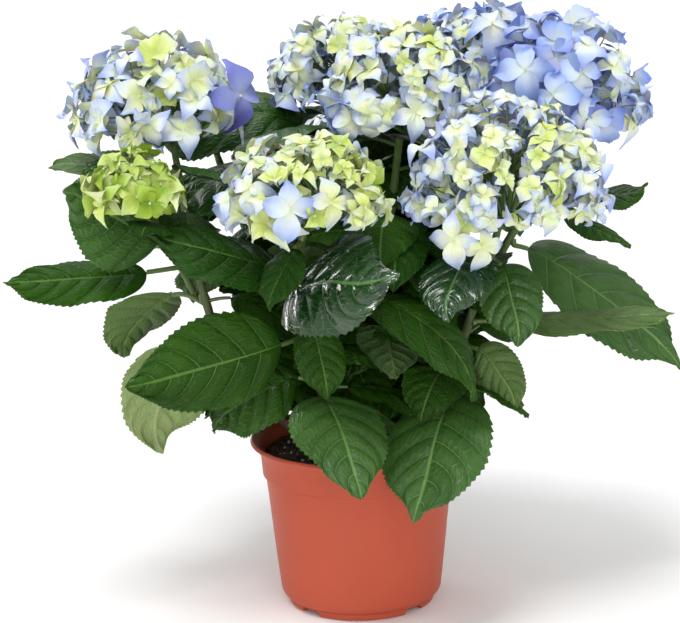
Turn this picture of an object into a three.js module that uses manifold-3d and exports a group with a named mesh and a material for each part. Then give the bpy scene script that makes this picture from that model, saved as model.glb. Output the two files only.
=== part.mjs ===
// Potted mophead hydrangea: a 14 cm grower pot, the potting mix in it, woody canes,
// one flower head on each cane and the large opposite leaves.
// Millimetres, +Z up. The origin is the centre of the pot's flat underside and the
// shrub's best side faces -Y. Rebuilt from named sizes: every limb, head and leaf is
// one function called with its own sizes.
import * as THREE from 'three';
import { mergeVertices } from 'three/addons/utils/BufferGeometryUtils.js';
import Module from 'manifold-3d';

const wasm = await Module();
wasm.setup();

const GAP = 0.35;              // clearance left between neighbouring solids

// Pot
const POT_HEIGHT = 110;
const RIM_RADIUS = 70;         // outer edge of the lip
const COLLAR_RADIUS = 64.5;    // straight band under the lip
const STEP_HEIGHT = 87;        // where the band steps in to the body
const STEP_RADIUS = 62.4;
const BASE_RADIUS = 52.4;      // body just above the rounded bottom edge
const FOOT_RADIUS = 47.4;
const FOOT_HEIGHT = 4;
const FOOT_GAP_DEG = 18;       // four feet with narrow gaps between them
const FEET = 4;
const BOSS_RADIUS = 20;        // flat centre of the underside, level with the feet
const WALL = 1.8;
const FLOOR_HEIGHT = 6;
const DRAIN_RADIUS = 5;
const DRAIN_CIRCLE = 31;
const POT_SIDES = 36;

// Potting mix
const SOIL_HEIGHT = 99;

// Canes: where each leaves the soil, the points it leans through and its thickness.
const CANE_SIDES = 8;
const CANE_RINGS = 6;
const CANE_BITE = 6;           // how far a cane runs up into its flower head

const canes = {
  cane_left: {
    path: [[-24, -2, 99], [-70, -14, 150], [-94, -20, 200], [-101, -18, 240], [-112, -8, 300]],
    foot: 4.2, tip: 2.4,
  },
  cane_left_spur: { path: [[-101.5, -25, 214], [-114, -46, 246], [-128, -68, 274]], foot: 2.4, tip: 1.7 },
  cane_top_left: { path: [[-6, 22, 99], [-10, 40, 200], [-7, 58, 306]], foot: 4.4, tip: 2.6 },
  cane_centre: { path: [[4, 2, 99], [16, 2, 200], [30, -8, 300]], foot: 4.4, tip: 2.6 },
  cane_top_back: { path: [[20, 20, 99], [44, 48, 200], [82, 78, 320]], foot: 4.4, tip: 2.6 },
  cane_right: { path: [[30, 4, 99], [76, 20, 190], [133, 34, 284]], foot: 4.4, tip: 2.6 },
  cane_front_right: {
    path: [[24, -14, 99], [58, -20, 150], [72, -22, 192], [86, -40, 240], [90, -56, 256]],
    foot: 4.2, tip: 2.6,
  },
  cane_front: {
    path: [[-12, -20, 99], [-26, -44, 170], [-34, -60, 237], [-30, -84, 260]],
    foot: 4, tip: 2.6,
  },
  cane_back: { path: [[6, 34, 99], [8, 76, 190], [10, 116, 250]], foot: 4, tip: 2.6 },
  cane_back_left: { path: [[-22, 20, 99], [-55, 60, 190], [-94, 95, 288]], foot: 3.8, tip: 2.4 },
};

// Flower heads: centre of the widest ring, half sizes across, front to back and up.
const HEAD_SIDES = 14;
const HEAD_RINGS = 8;
const HEAD_LUMP = 0.05;        // how uneven a head is, as a part of its size
const HEAD_UNDERSIDE = 0.5;    // a head is this much flatter below than above

const heads = {
  head_left:        { at: [-117, -5, 323], half: [57, 55, 54] },
  head_small_green: { at: [-133, -75, 288], half: [31, 30, 29] },
  head_top_left:    { at: [-4, 60, 330], half: [49, 46, 50] },
  head_centre:      { at: [34, -8, 328], half: [55, 46, 49] },
  head_top_back:    { at: [80, 84, 337], half: [52, 44, 44] },
  head_right:       { at: [138, 35, 316], half: [55, 50, 67] },
  head_front_right: { at: [91, -60, 280], half: [67, 52, 63] },
  head_front:       { at: [-29, -92, 281], half: [54, 46, 47] },
  head_back:        { at: [10, 132, 268], half: [55, 44, 44] },
  head_back_left:   { at: [-104, 100, 302], half: [42, 42, 39] },
};

// Leaves, listed by the cane that bears them. A row gives the height the stalk leaves the
// cane, the compass heading it sets off on (0 is +X, 90 is +Y) and how far that turns along
// the leaf, the climb in degrees at the stalk and at the tip, the length with the stalk, the
// width, the roll about the leaf's own rib (positive lowers its right side) and the share of
// the length that is stalk.
const LEAF_SIDES = 6;
const LEAF_THICKNESS = 5.5;
const LEAF_ARCH = 0.16;        // the edges hang this much of the half width below the rib
const STALK_RADIUS = 2.1;
const STALK_CLEARANCE = 1.2;   // from the cane's skin to the start of a stalk
const TIP_TAPER = 0.25;
const STALK_RINGS = [0.5, 1];
const BLADE_RINGS = [0.07, 0.22, 0.42, 0.62, 0.8, 0.93, 1];

const leaves = {
  cane_left: {
    leaf_far_left: [230, 198, -20, -4, 0, 122, 60, -20, 0.25],
    leaf_left_upper: [225, 204, 8, 42, 28, 108, 76, -80, 0.3],
    leaf_left_tip: [280, 168, -4, 30, -18, 90, 40, -20, 0.3],
    leaf_left_shadow: [285, 204, 8, 30, -12, 66, 44, -8, 0.3],
    leaf_left_hanging: [170, 136, 0, 8, -112, 120, 72, 36, 0.2],
    leaf_left_olive: [205, 144, -8, 22, -88, 100, 58, 16, 0.25],
    leaf_left_behind: [240, 132, -4, 24, -40, 84, 56, 28, 0.25],
    leaf_left_inward: [262, 20, 10, 24, -50, 100, 60, 10, 0.25],
  },
  cane_left_spur: {
    leaf_left_under_head: [260, 268, -8, 34, -14, 54, 36, -16, 0.3],
  },
  cane_top_left: {
    leaf_inner_left: [260, 192, 52, 44, -54, 150, 88, 4, 0.2],
    leaf_top_left: [285, 176, 0, 46, -36, 130, 64, -32, 0.22],
    leaf_inner_dark: [205, 204, 4, 8, -4, 86, 48, -50, 0.25],
  },
  cane_front: {
    leaf_front_long: [235, 218, -40, 16, 20, 100, 68, -26, 0.1],
    leaf_front_glossy: [235, -84, 64, -4, 22, 106, 84, 50, 0.08],
    leaf_front_sweeping: [205, -16, -4, 30, -80, 138, 60, 12, 0.25],
    leaf_front_broad: [190, 212, -16, -8, -8, 124, 72, -90, 0.15],
    leaf_low_left: [160, 188, -8, 2, -54, 78, 68, -30, 0.15],
    leaf_low_front: [150, -82, 18, 8, -62, 104, 72, -4, 0.12],
    leaf_front_olive: [206, -66, 0, -34, -84, 60, 38, 12, 0.14],
    leaf_front_collar: [264, -122, -20, -20, -76, 54, 36, 0, 0.2],
  },
  cane_front_right: {
    leaf_low_right: [150, -96, -24, -14, -54, 116, 84, 6, 0.12],
    leaf_right_glossy: [245, -134, 40, 4, -50, 86, 56, 0, 0.2],
    leaf_right_front: [235, -70, -12, -4, -84, 72, 46, 22, 0.2],
    leaf_right_level: [190, -8, 8, 0, 4, 130, 50, 8, 0.2],
    leaf_right_folded: [174, -46, 0, 0, -76, 60, 36, 58, 0.2],
  },
  cane_right: {
    leaf_far_right: [230, -4, -8, -24, -50, 142, 74, 36, 0.08],
    leaf_right_small: [265, -6, 4, -26, 28, 72, 46, 12, 0.25],
    leaf_right_small_low: [255, -30, -8, -14, -20, 76, 34, 4, 0.3],
    leaf_low_far_right: [170, 8, -2, -30, -70, 68, 50, 10, 0.2],
  },
  cane_centre: {
    leaf_centre_upper: [250, -84, -14, 20, -60, 84, 52, 8, 0.2],
    leaf_centre_low: [190, -80, -4, 8, -54, 72, 48, -4, 0.2],
  },
  cane_back: {
    leaf_back_high: [220, 100, -10, 0, -60, 112, 70, 0, 0.25],
    leaf_back_low: [165, 112, 8, 16, -70, 112, 72, 0, 0.22],
  },
  cane_back_left: {
    leaf_back_left_high: [220, 118, 8, 0, -64, 108, 66, 0, 0.25],
    leaf_back_left_low: [150, 142, 10, 20, -60, 108, 68, 0, 0.22],
  },
  cane_top_back: {
    leaf_back_right_high: [250, 58, -8, 10, -56, 112, 68, 0, 0.25],
    leaf_back_right_low: [175, 78, 6, 16, -56, 110, 68, 0, 0.22],
  },
};

// Colours of the plain solids
const TERRACOTTA = 0xc5553c;
const PEAT = 0x2e211a;
const BARK = 0x6d6a3c;
const PETAL_BLUE = 0xb9c8ee;
const PETAL_LIME = 0xc9dc5c;
const LEAF_GREEN = 0x1f5a22;

const rad = THREE.MathUtils.degToRad;
const clamp = THREE.MathUtils.clamp;

// ---- solids ---------------------------------------------------------------------

function toManifold(geometry) {
  geometry.deleteAttribute('normal');
  geometry.deleteAttribute('uv');
  const welded = mergeVertices(geometry, 1e-4);
  return new wasm.Manifold(new wasm.Mesh({
    numProp: 3,
    vertProperties: Float32Array.from(welded.attributes.position.array),
    triVerts: Uint32Array.from(welded.index.array),
  }));
}

function toGeometry(solid) {
  const mesh = solid.getMesh();
  const geometry = new THREE.BufferGeometry();
  geometry.setAttribute('position', new THREE.BufferAttribute(mesh.vertProperties, 3));
  geometry.setIndex(new THREE.BufferAttribute(mesh.triVerts, 1));
  geometry.computeVertexNormals();
  return geometry;
}

function largest(solid) {
  return solid.decompose().reduce((a, b) => (b.volume() > a.volume() ? b : a));
}

// Ring-by-ring tube: place(u, angle) gives the surface point, u runs from 0 to 1.
function tube(rings, sides, place) {
  const geometry = new THREE.CylinderGeometry(1, 1, 1, sides, rings.length - 1);
  const position = geometry.attributes.position;
  for (let i = 0; i < position.count; i += 1) {
    const u = rings[Math.round((position.getY(i) + 0.5) * (rings.length - 1))];
    const reach = Math.hypot(position.getX(i), position.getZ(i));
    const angle = Math.atan2(position.getZ(i), position.getX(i));
    const p = place(u, angle, reach);
    position.setXYZ(i, p.x, p.y, p.z);
  }
  return toManifold(geometry);
}

// ---- pot and potting mix ----------------------------------------------------------

function pot() {
  const corner = 5;
  const outside = [
    [0, 0], [BOSS_RADIUS, 0], [BOSS_RADIUS + 1.5, 3.2], [FOOT_RADIUS - 5.5, 3.2],
    [FOOT_RADIUS - 4.5, 0], [FOOT_RADIUS, 0], [FOOT_RADIUS + 0.6, FOOT_HEIGHT],
    [BASE_RADIUS - 1.6, FOOT_HEIGHT + 1.4], [BASE_RADIUS, FOOT_HEIGHT + corner],
    [STEP_RADIUS - 2, STEP_HEIGHT - 1.2], [STEP_RADIUS, STEP_HEIGHT],
    [COLLAR_RADIUS - 0.6, POT_HEIGHT - 9], [RIM_RADIUS - 1.4, POT_HEIGHT - 3.4],
    [RIM_RADIUS, POT_HEIGHT - 2.4], [RIM_RADIUS - 0.3, POT_HEIGHT],
  ];
  const inside = [
    [COLLAR_RADIUS - 1.2, POT_HEIGHT - 2.2], [STEP_RADIUS - WALL - 0.4, STEP_HEIGHT],
    [BASE_RADIUS - WALL, FLOOR_HEIGHT + 5], [BASE_RADIUS - WALL - 4, FLOOR_HEIGHT], [0, FLOOR_HEIGHT],
  ];
  const profile = [...outside, ...inside].map(([r, z]) => new THREE.Vector2(r, z));
  const lathe = new THREE.LatheGeometry(profile, POT_SIDES);
  lathe.rotateX(Math.PI / 2);
  let solid = toManifold(lathe);
  if (solid.volume() < 0) throw new Error('pot is inside out');
  for (let i = 0; i < FEET; i += 1) {
    const turn = 45 + (i * 360) / FEET;
    const across = 2 * FOOT_RADIUS * Math.sin(rad(FOOT_GAP_DEG / 2));
    const notch = new THREE.BoxGeometry(12, across, 3.4);
    notch.translate(FOOT_RADIUS - 3.2, 0, 1.5);
    notch.rotateZ(rad(turn));
    const drain = new THREE.CylinderGeometry(DRAIN_RADIUS, DRAIN_RADIUS, 4 * FLOOR_HEIGHT, 12);
    drain.rotateX(Math.PI / 2);
    drain.translate(DRAIN_CIRCLE * Math.cos(rad(turn)), DRAIN_CIRCLE * Math.sin(rad(turn)), 0);
    solid = solid.subtract(toManifold(notch)).subtract(toManifold(drain));
  }
  return solid;
}

function soil() {
  const wallAt = (z) => BASE_RADIUS - WALL
    + ((STEP_RADIUS - 0.4 - BASE_RADIUS) * (z - FLOOR_HEIGHT - 5)) / (STEP_HEIGHT - FLOOR_HEIGHT - 5);
  const profile = [
    [0, FLOOR_HEIGHT + GAP], [BASE_RADIUS - WALL - 4 - GAP, FLOOR_HEIGHT + GAP],
    [BASE_RADIUS - WALL - GAP, FLOOR_HEIGHT + 5 + GAP], [wallAt(STEP_HEIGHT) - GAP, STEP_HEIGHT],
    [wallAt(STEP_HEIGHT) + 0.9, SOIL_HEIGHT], [0, SOIL_HEIGHT],
  ].map(([r, z]) => new THREE.Vector2(r, z));
  const lathe = new THREE.LatheGeometry(profile, POT_SIDES);
  lathe.rotateX(Math.PI / 2);
  return toManifold(lathe);
}

// ---- canes, flower heads and leaves ------------------------------------------------

function caneCurve(spec) {
  return new THREE.CatmullRomCurve3(spec.path.map((p) => new THREE.Vector3(...p)));
}

function pointAtHeight(curve, z) {
  let low = 0;
  let high = 1;
  for (let i = 0; i < 40; i += 1) {
    const middle = (low + high) / 2;
    if (curve.getPoint(middle).z < z) low = middle; else high = middle;
  }
  return curve.getPoint(low);
}

// A cane's rings lie level, so that its foot is cut flat on the potting mix.
function cane(spec, grow) {
  const curve = caneCurve(spec);
  const rings = Array.from({ length: CANE_RINGS + 1 }, (_, i) => i / CANE_RINGS);
  const foot = spec.path[0][2] === SOIL_HEIGHT ? GAP - grow : -grow;
  return tube(rings, CANE_SIDES, (u, angle, reach) => {
    const centre = curve.getPointAt(u);
    const radius = THREE.MathUtils.lerp(spec.foot, spec.tip, u ** 0.7) + grow;
    const lift = u === 0 ? foot : 0;
    return new THREE.Vector3(
      centre.x + reach * radius * Math.cos(angle),
      centre.y - reach * radius * Math.sin(angle),
      centre.z + lift + (u === 1 ? CANE_BITE + grow : 0),
    );
  });
}

// A head is a lumpy dome, rounder above than below, with no two alike.
function head(spec, order, grow) {
  const geometry = new THREE.SphereGeometry(1, HEAD_SIDES, HEAD_RINGS);
  geometry.rotateX(Math.PI / 2);
  const position = geometry.attributes.position;
  const v = new THREE.Vector3();
  for (let i = 0; i < position.count; i += 1) {
    v.fromBufferAttribute(position, i);
    const lump = 1 + HEAD_LUMP * (Math.sin(5 * v.x + 1.7 * order) * Math.cos(4 * v.y - order)
      + Math.sin(6 * v.z + 4 * v.x + 2.3 * order));
    const up = v.z > 0 ? 1 : HEAD_UNDERSIDE;
    position.setXYZ(
      i,
      spec.at[0] + v.x * (spec.half[0] * lump + grow),
      spec.at[1] + v.y * (spec.half[1] * lump + grow),
      spec.at[2] + v.z * (spec.half[2] * lump * up + grow),
    );
  }
  return toManifold(geometry);
}

// Share of the full half width at t along the blade: full in the middle, drawn-out tip.
function bladeOutline(t) {
  return Math.sin(Math.PI * clamp(t, 0, 1) ** 0.9) ** 0.66 * (1 - 0.35 * t ** 6);
}

function leaf(bearer, row, grow) {
  const [up, compass, turn, riseFoot, riseTip, length, width, roll, stalk] = row;
  const root = (bearer.foot + STALK_CLEARANCE) / length;
  const rings = [root - grow / length, ...STALK_RINGS.map((s) => root + s * (stalk - root)),
    ...BLADE_RINGS.map((t) => stalk + t * (1 - stalk))];
  const steps = 48;
  const heading = (u) => rad(compass + turn * u);
  const rise = (u) => rad(THREE.MathUtils.lerp(riseFoot, riseTip, u));
  const tangent = (u) => new THREE.Vector3(
    Math.cos(rise(u)) * Math.cos(heading(u)), Math.cos(rise(u)) * Math.sin(heading(u)), Math.sin(rise(u)));
  const rib = [pointAtHeight(caneCurve(bearer), up)];
  for (let i = 0; i < steps; i += 1) {
    rib.push(rib[i].clone().addScaledVector(tangent((i + 0.5) / steps), length / steps));
  }
  return tube(rings, LEAF_SIDES, (u, angle, reach) => {
    const k = Math.min(Math.floor(u * steps), steps - 1);
    const centre = rib[k].clone().lerp(rib[k + 1], u * steps - k);
    const along = tangent(u);
    const level = new THREE.Vector3(Math.sin(heading(u)), -Math.cos(heading(u)), 0);
    const side = level.applyAxisAngle(along, rad(roll));
    const face = side.clone().cross(along);
    const t = (u - stalk) / (1 - stalk);
    const share = t > 0 ? bladeOutline(t) : 0;
    const least = STALK_RADIUS * (t < 0.5 ? 1 : TIP_TAPER);
    const half = Math.max((share * width) / 2, least);
    const thick = Math.max((Math.sqrt(share) * LEAF_THICKNESS) / 2, least);
    const across = reach * Math.cos(angle);
    const arch = (LEAF_ARCH * share * width) / 2;
    return centre
      .addScaledVector(side, across * (half + grow))
      .addScaledVector(face, reach * Math.sin(angle) * (thick + grow) - arch * across ** 2);
  });
}

// ---- the whole shrub ------------------------------------------------------------------

const placed = [];             // slightly grown copies of what is already in place

function part(name, solid, grown, colour) {
  const box = solid.boundingBox();
  const touches = (other) => [0, 1, 2].every(
    (k) => box.max[k] > other.box.min[k] && box.min[k] < other.box.max[k],
  );
  let piece = solid;
  for (const other of placed.filter(touches)) piece = largest(piece.subtract(other.solid));
  placed.push({ solid: grown, box: grown.boundingBox() });
  const mesh = new THREE.Mesh(
    toGeometry(piece),
    new THREE.MeshStandardMaterial({ color: colour, roughness: 0.7 }),
  );
  mesh.name = name;
  return mesh;
}

const container = new THREE.Group();
const stems = new THREE.Group();
const blossom = new THREE.Group();
const foliage = new THREE.Group();

container.add(part('pot', pot(), pot(), TERRACOTTA), part('soil', soil(), soil(), PEAT));
for (const [name, spec] of Object.entries(canes)) {
  stems.add(part(name, cane(spec, 0), cane(spec, GAP), BARK));
}
Object.entries(heads).forEach(([name, spec], order) => {
  const colour = name === 'head_small_green' ? PETAL_LIME : PETAL_BLUE;
  blossom.add(part(name, head(spec, order, 0), head(spec, order, GAP), colour));
});
for (const [caneName, rows] of Object.entries(leaves)) {
  for (const [name, row] of Object.entries(rows)) {
    foliage.add(part(name, leaf(canes[caneName], row, 0), leaf(canes[caneName], row, GAP), LEAF_GREEN));
  }
}

const shrub = new THREE.Group();
shrub.add(container, stems, blossom, foliage);

export default shrub;
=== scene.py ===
import math

import bmesh
import bpy
import numpy as np
from mathutils import Matrix, Vector


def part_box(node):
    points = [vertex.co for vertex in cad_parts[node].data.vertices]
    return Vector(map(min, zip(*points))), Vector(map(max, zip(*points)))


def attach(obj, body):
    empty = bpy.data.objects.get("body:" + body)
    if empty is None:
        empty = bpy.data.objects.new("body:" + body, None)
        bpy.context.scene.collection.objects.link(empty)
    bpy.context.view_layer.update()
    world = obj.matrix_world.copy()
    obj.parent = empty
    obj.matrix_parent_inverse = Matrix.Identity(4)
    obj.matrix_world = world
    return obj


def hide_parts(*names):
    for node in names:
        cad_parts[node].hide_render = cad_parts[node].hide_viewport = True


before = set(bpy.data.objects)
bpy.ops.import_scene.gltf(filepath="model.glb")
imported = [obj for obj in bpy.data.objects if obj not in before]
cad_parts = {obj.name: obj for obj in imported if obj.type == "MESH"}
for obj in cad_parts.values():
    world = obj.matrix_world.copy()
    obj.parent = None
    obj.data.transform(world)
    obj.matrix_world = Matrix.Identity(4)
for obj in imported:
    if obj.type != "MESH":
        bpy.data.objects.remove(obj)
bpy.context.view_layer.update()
bpy.ops.object.select_all(action="DESELECT")

# ---- The pot ---------------------------------------------------------------------------
# A 14 cm grower pot, injection moulded in terracotta-coloured plastic: flared lip, straight
# collar, a small step, a tapered body with a rounded bottom edge, and four low feet. Four
# drain holes go through its floor.

MM = 0.001
POT_SIDES = 144
POT_WALL = 1.8 * MM
POT_FLOOR = 6 * MM
COLLAR_INSET = 5.9 * MM
STEP_INSET = 7.6 * MM
STEP_DROP = 23 * MM
BASE_INSET = 17.6 * MM
BASE_BEND = 6.5 * MM
FOOT_OUTER = 47.4 * MM
FOOT_INNER = 42.9 * MM
FOOT_LIFT = 3.2 * MM
FOOT_COUNT = 4
FOOT_GAP = math.radians(18)
FOOT_SLOPE = 0.02 * MM
BOSS_RADIUS = 20 * MM
DRAIN_RADIUS = 5 * MM
DRAIN_CIRCLE = 31 * MM
DRILL_LENGTH = 20 * MM
SHARP_EDGE = math.radians(32)
TERRACOTTA = (0.46, 0.080, 0.040)


class Value:
    """A shader output that takes part in sums, with plain numbers and with other outputs."""

    def __init__(self, tree, socket):
        self.tree, self.socket = tree, socket

    def _math(self, operation, *terms):
        return self.tree.node("ShaderNodeMath", {"operation": operation}, dict(enumerate(terms)))

    def __add__(self, other):
        return self._math("ADD", self, other)

    __radd__ = __add__

    def __sub__(self, other):
        return self._math("SUBTRACT", self, other)

    def __rsub__(self, other):
        return self._math("SUBTRACT", other, self)

    def __mul__(self, other):
        return self._math("MULTIPLY", self, other)

    __rmul__ = __mul__

    def __truediv__(self, other):
        return self._math("DIVIDE", self, other)

    def __abs__(self):
        return self._math("ABSOLUTE", self)

    def fraction(self):
        return self._math("FRACT", self)


class Finish:
    """A material under construction: node() makes every node, and surface() feeds the shader."""

    def __init__(self, name):
        self.material = bpy.data.materials.new(name)
        self.material.use_nodes = True
        self.links = self.material.node_tree.links
        self.shader = self.material.node_tree.nodes["Principled BSDF"]

    def node(self, kind, settings=None, sockets=None, out=0):
        made = self.material.node_tree.nodes.new(kind)
        for key, setting in (settings or {}).items():
            if key == "stops":
                ramp = made.color_ramp.elements
                while len(ramp) < len(setting):
                    ramp.new(0.5)
                for element, (position, colour) in zip(ramp, setting):
                    element.position = position
                    element.color = (*colour, 1) if isinstance(colour, tuple) else (colour,) * 3 + (1,)
            else:
                setattr(made, key, setting)
        for key, value in (sockets or {}).items():
            self.feed(made.inputs[key], value)
        return Value(self, made.outputs[out])

    def feed(self, socket, value):
        if isinstance(value, Value):
            self.links.new(value.socket, socket)
        elif isinstance(value, tuple) and len(value) == 3 and len(socket.default_value) == 4:
            socket.default_value = (*value, 1)
        else:
            socket.default_value = value

    def noise(self, place, scale, detail, roughness=0.5, out=0):
        return self.node("ShaderNodeTexNoise", None, {
            "Vector": place, "Scale": scale, "Detail": detail, "Roughness": roughness}, out)

    def mix(self, share, one, other, how="MIX"):
        return self.node("ShaderNodeMix", {"data_type": "RGBA", "blend_type": how}, {
            0: share, 6: one, 7: other}, out=2)

    def ramp(self, share, *stops):
        return self.node("ShaderNodeValToRGB", {"stops": stops}, {"Fac": share})

    def fade(self, value, low, high, first=0.0, last=1.0):
        """A smooth step from first, where value is low, to last, where it is high."""
        return self.node("ShaderNodeMapRange", {"interpolation_type": "SMOOTHSTEP"}, {
            "Value": value, "From Min": low, "From Max": high, "To Min": first, "To Max": last})

    def bump(self, height, strength, distance):
        return self.node("ShaderNodeBump", None, {
            "Strength": strength, "Distance": distance, "Height": height})

    def surface(self, **sockets):
        for key, value in sockets.items():
            self.feed(self.shader.inputs[key.replace("_", " ").title().replace("Ior", "IOR")], value)
        return self.material


def pot_finish():
    """Satin moulded plastic, faintly mottled, with upright scuffs and a fine grain."""
    finish = Finish("pot_plastic")
    place = finish.node("ShaderNodeTexCoord", out=3)
    upright = finish.node("ShaderNodeMapping", None, {"Vector": place, "Scale": (1, 1, 0.12)})
    broad = finish.noise(place, 26, 3)
    streaks = finish.noise(upright, 240, 4, 0.6)
    specks = finish.noise(place, 900, 2)
    scuffs = finish.ramp(streaks, (0.66, 0.0), (0.74, 1.0))
    colour = finish.mix(broad, tuple(0.93 * c for c in TERRACOTTA), tuple(1.07 * c for c in TERRACOTTA))
    colour = finish.mix(scuffs * 0.16, colour, (0.52, 0.17, 0.11))
    height = finish.bump(specks + streaks * 0.6, 0.12, 0.4 * MM)
    return finish.surface(base_color=colour, roughness=0.42 + broad * 0.1 + scuffs * 0.2,
                          normal=height, specular_ior_level=0.2)


def spin_up(profile, sides):
    """Extrudes a ring of edges from radius to radius and height to height, as on a lathe."""
    (radius, height), *rest = profile
    bpy.ops.mesh.primitive_circle_add(vertices=sides, radius=radius, location=(0, 0, height))
    bpy.ops.object.transform_apply(location=True)
    bpy.ops.object.mode_set(mode="EDIT")
    bpy.ops.mesh.select_all(action="SELECT")
    for next_radius, next_height in rest:
        bpy.ops.mesh.extrude_region()
        bpy.ops.transform.translate(value=(0, 0, next_height - height))
        scale = next_radius / radius
        bpy.ops.transform.resize(value=(scale, scale, 1), center_override=(0, 0, next_height))
        radius, height = next_radius, next_height
    bpy.ops.object.mode_set(mode="OBJECT")
    return bpy.context.object


def arc(radius, height, bend, start, stop, steps):
    """Profile points on a rounded corner whose centre is at radius and height."""
    angles = np.radians(np.linspace(start, stop, steps))
    return [(radius + bend * math.cos(a), height + bend * math.sin(a)) for a in angles]


rim, _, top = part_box("pot")[1]
collar = rim - COLLAR_INSET
step_radius = rim - STEP_INSET
step_height = top - STEP_DROP
base_radius = rim - BASE_INSET
pot_profile = [
    (BOSS_RADIUS * 0.5, 0), (BOSS_RADIUS - 0.4 * MM, 0), (BOSS_RADIUS, 0.4 * MM),
    (BOSS_RADIUS + 1.2 * MM, FOOT_LIFT), (DRAIN_CIRCLE, FOOT_LIFT), (FOOT_INNER - 1 * MM, FOOT_LIFT),
    (FOOT_INNER - 0.4 * MM, 0.5 * MM), (FOOT_INNER, 0), (FOOT_OUTER - 0.8 * MM, 0),
    *arc(FOOT_OUTER - 0.8 * MM, 0.8 * MM, 0.8 * MM, -60, 0, 3), (FOOT_OUTER + 0.2 * MM, 3.6 * MM),
    (FOOT_OUTER + 0.9 * MM, 4.1 * MM),
    *arc(base_radius - BASE_BEND, 4 * MM + BASE_BEND, BASE_BEND, -70, -6, 7),
    (base_radius + 2.7 * MM, 34 * MM), (base_radius + 5.4 * MM, 60 * MM),
    (step_radius - 2.1 * MM, step_height - 2.2 * MM), (step_radius - 1.9 * MM, step_height - 1.3 * MM),
    (step_radius - 0.5 * MM, step_height - 0.7 * MM), (step_radius, step_height),
    (step_radius + 0.15 * MM, step_height + 0.8 * MM), (collar - 0.9 * MM, top - 12 * MM),
    (collar - 0.2 * MM, top - 9.5 * MM), (collar + 1.4 * MM, top - 6.2 * MM),
    (rim - 1.6 * MM, top - 3.4 * MM), *arc(rim - 0.9 * MM, top - 1.7 * MM, 0.9 * MM, -50, 50, 5),
    *arc(rim - 1.6 * MM, top - 0.9 * MM, 0.9 * MM, 60, 120, 3),
    (collar - 0.4 * MM, top - 4.4 * MM), (collar - POT_WALL - 0.4 * MM, top - 9 * MM),
    (step_radius - POT_WALL, step_height + 1 * MM), (step_radius - POT_WALL - 2 * MM, step_height - 1.4 * MM),
    (base_radius - POT_WALL, 14 * MM), (base_radius - POT_WALL - 1.6 * MM, 8 * MM),
    (base_radius - POT_WALL - 5 * MM, POT_FLOOR), (DRAIN_CIRCLE, POT_FLOOR), (BOSS_RADIUS * 0.5, POT_FLOOR),
]
pot = spin_up(pot_profile, POT_SIDES)
pot.name = "pot_shell"
mesh = bmesh.new()
mesh.from_mesh(pot.data)
open_rings = {}
for edge in (e for e in mesh.edges if e.is_boundary):
    open_rings.setdefault(round(edge.verts[0].co.z, 5), []).append(edge)
for ring in open_rings.values():
    bmesh.ops.contextual_create(mesh, geom=ring)
for vertex in mesh.verts:
    turn = math.atan2(vertex.co.y, vertex.co.x) % (2 * math.pi / FOOT_COUNT) - math.pi / FOOT_COUNT
    reach = math.hypot(vertex.co.x, vertex.co.y)
    on_foot = FOOT_INNER - 2 * MM < reach < FOOT_OUTER + 0.3 * MM and vertex.co.z < 2 * MM
    if on_foot and abs(turn) < FOOT_GAP / 2:
        vertex.co.z = FOOT_LIFT - FOOT_SLOPE * (reach - FOOT_INNER) / (FOOT_OUTER - FOOT_INNER)
bmesh.ops.recalc_face_normals(mesh, faces=mesh.faces)
mesh.to_mesh(pot.data)
mesh.free()
for i in range(FOOT_COUNT):
    turn = (i + 0.5) * 2 * math.pi / FOOT_COUNT
    bpy.ops.object.select_all(action="DESELECT")
    bpy.ops.mesh.primitive_cylinder_add(
        vertices=40, radius=DRAIN_RADIUS, depth=DRILL_LENGTH,
        location=(DRAIN_CIRCLE * math.cos(turn), DRAIN_CIRCLE * math.sin(turn), 5 * MM))
    drill = bpy.context.object
    hole = pot.modifiers.new("drain", "BOOLEAN")
    hole.operation, hole.solver, hole.object = "DIFFERENCE", "EXACT", drill
    bpy.context.view_layer.objects.active = pot
    bpy.ops.object.modifier_apply(modifier=hole.name)
    bpy.data.objects.remove(drill)
bpy.ops.object.select_all(action="DESELECT")
pot.select_set(True)
bpy.ops.object.shade_smooth_by_angle(angle=SHARP_EDGE)
pot.data.materials.append(pot_finish())
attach(pot, "root")
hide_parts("pot")

# ---- The potting mix ---------------------------------------------------------------------
# Moist peat filled to a finger's breadth below the lip: a crumbly uneven top, and loose
# crumbs and white perlite lying on it. Its sides and underside follow the pot's wall.

SOIL_SIDES = 96
SOIL_RINGS = 22
SOIL_ROUGHNESS = 2.2 * MM
SOIL_GRAIN = 0.35 * MM
CRUMB_COUNT = 900
CRUMB_SIZES = (0.6 * MM, 1.9 * MM)
PERLITE_COUNT = 150
PERLITE_SIZES = (0.5 * MM, 1.2 * MM)
DARK_PEAT = (0.022, 0.013, 0.009)
LIGHT_PEAT = (0.075, 0.045, 0.03)


def soil_finish(name, dark, light, scale):
    """Matt crumbly matter, dark in its hollows and lighter on its grains."""
    finish = Finish(name)
    place = finish.node("ShaderNodeTexCoord", out=3)
    grain = finish.noise(place, scale, 6, 0.7)
    colour = finish.mix(grain, dark, light)
    return finish.surface(base_color=colour, roughness=0.92, normal=finish.bump(grain, 0.7, 1 * MM))


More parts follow.
